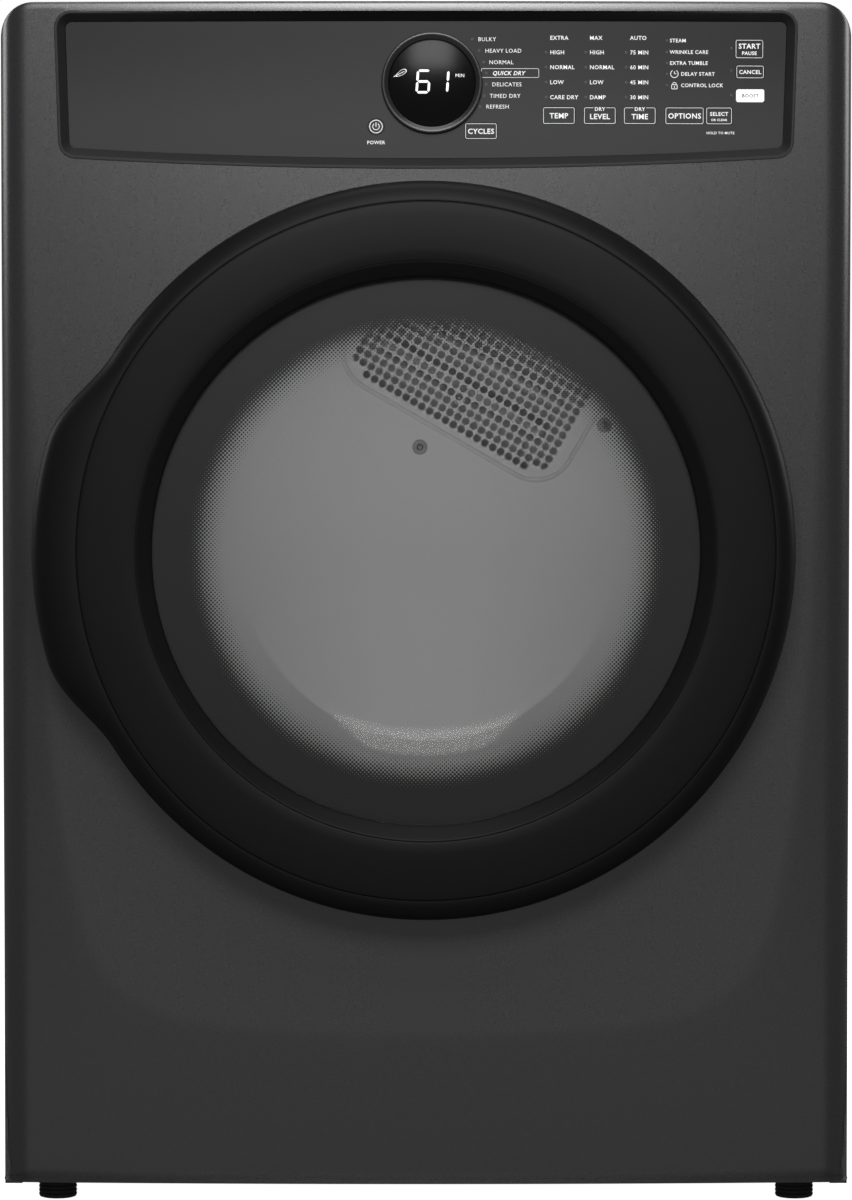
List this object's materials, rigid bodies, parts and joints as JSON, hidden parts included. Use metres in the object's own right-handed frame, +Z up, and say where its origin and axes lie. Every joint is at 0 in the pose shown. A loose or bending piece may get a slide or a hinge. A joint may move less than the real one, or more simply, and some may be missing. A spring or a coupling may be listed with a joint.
{
  "type": "clothes dryer",
  "caption": "Free-standing front-loading clothes dryer with a round glazed door, a control console above it, a belt-driven drum and a rear exhaust.",
  "frame": {"origin": "on the floor under the middle of the machine's outer box", "axes": "+Z up, -Y towards the door, +X to the right seen from the front"},
  "size_m": [0.686, 0.8, 0.972],
  "materials": {
    "panel_paint": "satin metallic titanium grey",
    "galvanised_steel": "galvanised sheet",
    "drum_enamel": "satin powder coat",
    "console_plastic": "satin charcoal",
    "key_plastic": "satin charcoal",
    "key_light": "white translucent",
    "display_trim": "dark gloss",
    "display_glass": "black lens",
    "circuit_board": "green board",
    "door_plastic": "black satin",
    "door_glass": "clear, dark frit border",
    "seal_rubber": "grey",
    "felt": "felt",
    "grey_plastic": "moulded",
    "lamp_lens": "frosted",
    "sensor_steel": "bars on a plastic block",
    "filter_mesh": "mesh in a moulded frame",
    "duct_steel": "aluminised sheet",
    "heater_wire": "coiled wire",
    "roller_rubber": "black",
    "shaft_steel": "zinc plated",
    "motor_paint": "dark enamel",
    "belt_rubber": "ribbed",
    "pulley_plastic": "natural nylon",
    "foot_rubber": "black"
  },
  "bodies": {
    "cabinet": {"side_panel_left": "panel_paint", "side_panel_right": "panel_paint", "top_panel": "panel_paint", "front_panel": "panel_paint", "rear_panel": "galvanised_steel", "base_pan": "galvanised_steel", "terminal_cover": "galvanised_steel", "motor_bracket": "galvanised_steel", "front_bulkhead": "drum_enamel", "rear_bulkhead": "drum_enamel", "inlet_grille": "drum_enamel", "console_bezel": "console_plastic", "console_panel": "console_plastic", "display_ring": "display_trim", "display_lens": "display_glass", "control_board": "circuit_board", "door_seal": "seal_rubber", "drum_seals": "felt", "lint_duct": "grey_plastic", "door_catch": "grey_plastic", "blower_housing": "grey_plastic", "water_valve": "grey_plastic", "drum_light": "lamp_lens", "moisture_sensor": "sensor_steel", "exhaust_duct": "duct_steel", "heater_housing": "duct_steel", "heater_coil": "heater_wire", "roller_axles": "shaft_steel", "hinge_base": "shaft_steel", "motor_housing": "motor_paint", "drive_belt": "belt_rubber"},
    "door": {"door_frame": "door_plastic", "door_window": "door_glass", "door_bowl": "door_glass", "door_liner": "door_plastic", "door_strike": "shaft_steel", "hinge_leaf": "shaft_steel"},
    "drum": {"drum_shell": "drum_enamel", "drum_baffles": "grey_plastic"},
    "rotor": {"motor_rotor": "shaft_steel", "blower_wheel": "grey_plastic"},
    "idler_arm": {"idler_arm": "shaft_steel"},
    "idler_pulley": {"idler_pulley": "pulley_plastic"},
    "roller_left": {"roller_left": "roller_rubber"},
    "roller_right": {"roller_right": "roller_rubber"},
    "lint_screen": {"lint_screen": "filter_mesh"},
    "foot_front_left": {"foot_front_left": "foot_rubber"},
    "foot_front_right": {"foot_front_right": "foot_rubber"},
    "foot_rear_left": {"foot_rear_left": "foot_rubber"},
    "foot_rear_right": {"foot_rear_right": "foot_rubber"},
    "key_cycles": {"key_cycles": "key_plastic"},
    "key_temp": {"key_temp": "key_plastic"},
    "key_dry_level": {"key_dry_level": "key_plastic"},
    "key_dry_time": {"key_dry_time": "key_plastic"},
    "key_options": {"key_options": "key_plastic"},
    "key_select": {"key_select": "key_plastic"},
    "key_start_pause": {"key_start_pause": "key_plastic"},
    "key_cancel": {"key_cancel": "key_plastic"},
    "key_boost": {"key_boost": "key_light"},
    "key_power": {"key_power": "key_plastic"}
  },
  "joints": [
    {"name": "door_hinge", "type": "hinge", "parent": "cabinet", "child": "door", "pos_m": [0.282, -0.352, 0.5325], "axis": [0, 0, 1], "range_deg": [0, 110]},
    {"name": "drum_spin", "type": "hinge", "parent": "cabinet", "child": "drum", "pos_m": [0, 0, 0.605], "axis": [0, 1, 0], "continuous": true},
    {"name": "motor_spin", "type": "hinge", "parent": "cabinet", "child": "rotor", "pos_m": [0.11, 0, 0.135], "axis": [0, 1, 0], "continuous": true},
    {"name": "idler_spin", "type": "hinge", "parent": "idler_arm", "child": "idler_pulley", "pos_m": [0.148, 0.015, 0.182], "axis": [0, 1, 0], "continuous": true},
    {"name": "roller_left_spin", "type": "hinge", "parent": "cabinet", "child": "roller_left", "pos_m": [-0.20322, 0.236, 0.31477], "axis": [0, 1, 0], "continuous": true},
    {"name": "roller_right_spin", "type": "hinge", "parent": "cabinet", "child": "roller_right", "pos_m": [0.20322, 0.236, 0.31477], "axis": [0, 1, 0], "continuous": true},
    {"name": "idler_swing", "type": "hinge", "parent": "cabinet", "child": "idler_arm", "pos_m": [0.185, 0.026, 0.095], "axis": [0, 1, 0], "range_deg": [0, 15], "stiffness_Nm_per_rad": 6, "springref_deg": -14.32},
    {"name": "lint_screen_pull", "type": "slide", "parent": "cabinet", "child": "lint_screen", "axis": [0, 0, 1], "range_m": [0, 0.19]},
    {"name": "foot_front_left_screw", "type": "slide", "parent": "cabinet", "child": "foot_front_left", "axis": [0, 0, 1], "range_m": [-0.02, 0]},
    {"name": "foot_front_right_screw", "type": "slide", "parent": "cabinet", "child": "foot_front_right", "axis": [0, 0, 1], "range_m": [-0.02, 0]},
    {"name": "foot_rear_left_screw", "type": "slide", "parent": "cabinet", "child": "foot_rear_left", "axis": [0, 0, 1], "range_m": [-0.02, 0]},
    {"name": "foot_rear_right_screw", "type": "slide", "parent": "cabinet", "child": "foot_rear_right", "axis": [0, 0, 1], "range_m": [-0.02, 0]},
    {"name": "key_cycles_press", "type": "slide", "parent": "cabinet", "child": "key_cycles", "axis": [0, 1, 0], "range_m": [0, 0.0006], "stiffness_N_per_m": 2000},
    {"name": "key_temp_press", "type": "slide", "parent": "cabinet", "child": "key_temp", "axis": [0, 1, 0], "range_m": [0, 0.0006], "stiffness_N_per_m": 2000},
    {"name": "key_dry_level_press", "type": "slide", "parent": "cabinet", "child": "key_dry_level", "axis": [0, 1, 0], "range_m": [0, 0.0006], "stiffness_N_per_m": 2000},
    {"name": "key_dry_time_press", "type": "slide", "parent": "cabinet", "child": "key_dry_time", "axis": [0, 1, 0], "range_m": [0, 0.0006], "stiffness_N_per_m": 2000},
    {"name": "key_options_press", "type": "slide", "parent": "cabinet", "child": "key_options", "axis": [0, 1, 0], "range_m": [0, 0.0006], "stiffness_N_per_m": 2000},
    {"name": "key_select_press", "type": "slide", "parent": "cabinet", "child": "key_select", "axis": [0, 1, 0], "range_m": [0, 0.0006], "stiffness_N_per_m": 2000},
    {"name": "key_start_pause_press", "type": "slide", "parent": "cabinet", "child": "key_start_pause", "axis": [0, 1, 0], "range_m": [0, 0.0006], "stiffness_N_per_m": 2000},
    {"name": "key_cancel_press", "type": "slide", "parent": "cabinet", "child": "key_cancel", "axis": [0, 1, 0], "range_m": [0, 0.0006], "stiffness_N_per_m": 2000},
    {"name": "key_boost_press", "type": "slide", "parent": "cabinet", "child": "key_boost", "axis": [0, 1, 0], "range_m": [0, 0.0006], "stiffness_N_per_m": 2000},
    {"name": "key_power_press", "type": "slide", "parent": "cabinet", "child": "key_power", "axis": [0, 1, 0], "range_m": [0, 0.0006], "stiffness_N_per_m": 2000}
  ],
  "couplings": [
    {"joint": "motor_spin", "follows": "drum_spin", "ratio": 28.522},
    {"joint": "idler_spin", "follows": "drum_spin", "ratio": -10.637},
    {"joint": "roller_left_spin", "follows": "drum_spin", "ratio": -10.062},
    {"joint": "roller_right_spin", "follows": "drum_spin", "ratio": -10.062}
  ]
}
